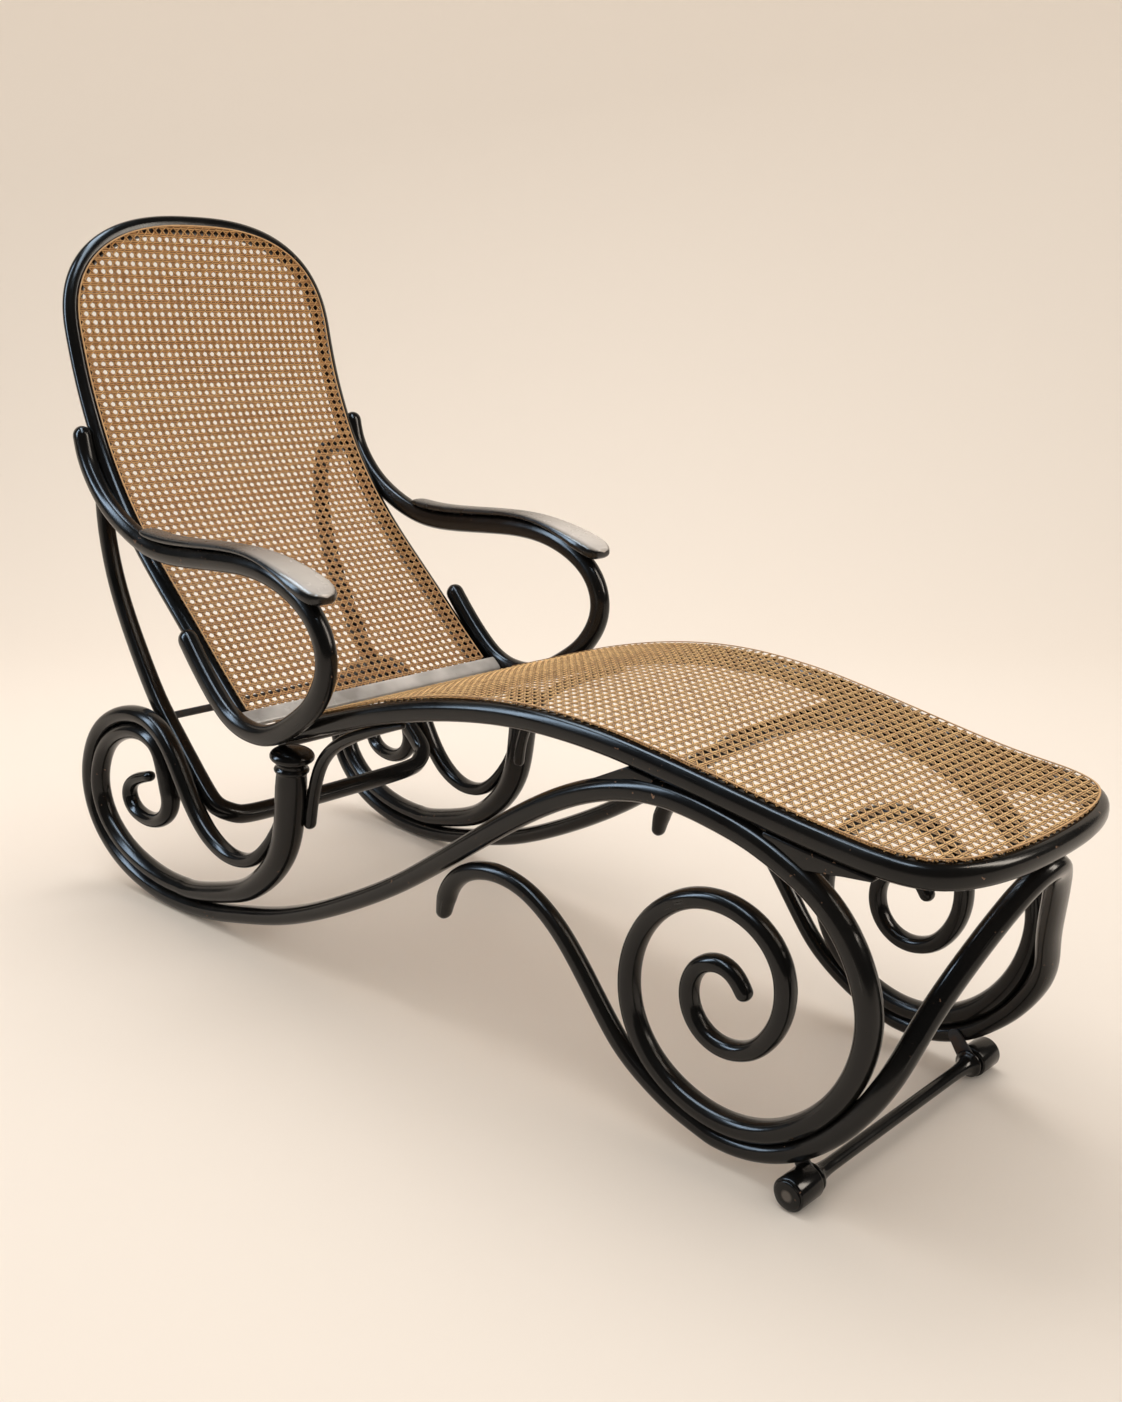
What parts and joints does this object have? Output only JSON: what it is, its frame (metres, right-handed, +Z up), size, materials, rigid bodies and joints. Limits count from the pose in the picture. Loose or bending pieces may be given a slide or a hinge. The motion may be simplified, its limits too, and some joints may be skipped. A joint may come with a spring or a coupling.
{
  "type": "caned chaise longue",
  "caption": "Long reclining lounge chair of bent black wood rods ending in scrolls, with a woven cane seat and back, looped arms, a propped back and foot rollers.",
  "frame": {"origin": "middle of the footprint on the floor", "axes": "+X along the length toward the foot end, +Y to the left of a person lying in it, +Z up"},
  "size_m": [1.7372, 0.6254, 1.1694],
  "materials": {
    "ebonised_wood": "black semi-gloss polish",
    "worn_ebonised_wood": "black polish worn smooth and grey on top",
    "cane": "golden split cane",
    "iron": "dark wrought iron"
  },
  "bodies": {
    "base": {"side_rod_right": "ebonised_wood", "side_rod_left": "ebonised_wood", "rear_scroll_right": "ebonised_wood", "rear_scroll_left": "ebonised_wood", "foot_rod": "ebonised_wood", "seat_rail": "ebonised_wood", "seat_cane": "cane", "seat_cane_binder": "cane", "seat_cross_rail": "ebonised_wood", "brace_right": "ebonised_wood", "brace_left": "ebonised_wood", "rear_block_right": "ebonised_wood", "rear_block_left": "ebonised_wood", "front_block_right": "ebonised_wood", "front_block_left": "ebonised_wood", "foot_axle": "ebonised_wood", "axle_hanger_right": "iron", "axle_hanger_left": "iron", "prop_rest_rod": "iron", "pivot_pin_right": "iron", "pivot_pin_left": "iron", "pivot_washer_right": "iron", "pivot_washer_left": "iron"},
    "back": {"back_bow": "ebonised_wood", "back_cane": "cane", "back_cane_binder": "cane", "back_sill": "worn_ebonised_wood", "arm_right": "ebonised_wood", "arm_left": "ebonised_wood", "arm_pad_right": "worn_ebonised_wood", "arm_pad_left": "worn_ebonised_wood", "hinge_lug_right": "iron", "hinge_lug_left": "iron", "hinge_pin_right": "iron", "hinge_pin_left": "iron"},
    "prop": {"prop_bail": "ebonised_wood"},
    "roller_r": {"roller_right": "ebonised_wood"},
    "roller_l": {"roller_left": "ebonised_wood"}
  },
  "joints": [
    {"name": "back_recline", "type": "hinge", "parent": "base", "child": "back", "pos_m": [-0.29355, 0, 0.384], "axis": [0, 1, 0], "range_deg": [0, 15]},
    {"name": "prop_swing", "type": "hinge", "parent": "back", "child": "prop", "pos_m": [-0.7845, 0, 0.7601], "axis": [0, -1, 0], "range_deg": [0, 12]},
    {"name": "roller_right_spin", "type": "hinge", "parent": "base", "child": "roller_r", "pos_m": [0.68045, -0.21067, 0.021], "axis": [0, 1, 0], "continuous": true},
    {"name": "roller_left_spin", "type": "hinge", "parent": "base", "child": "roller_l", "pos_m": [0.68045, 0.21067, 0.021], "axis": [0, 1, 0], "continuous": true}
  ]
}
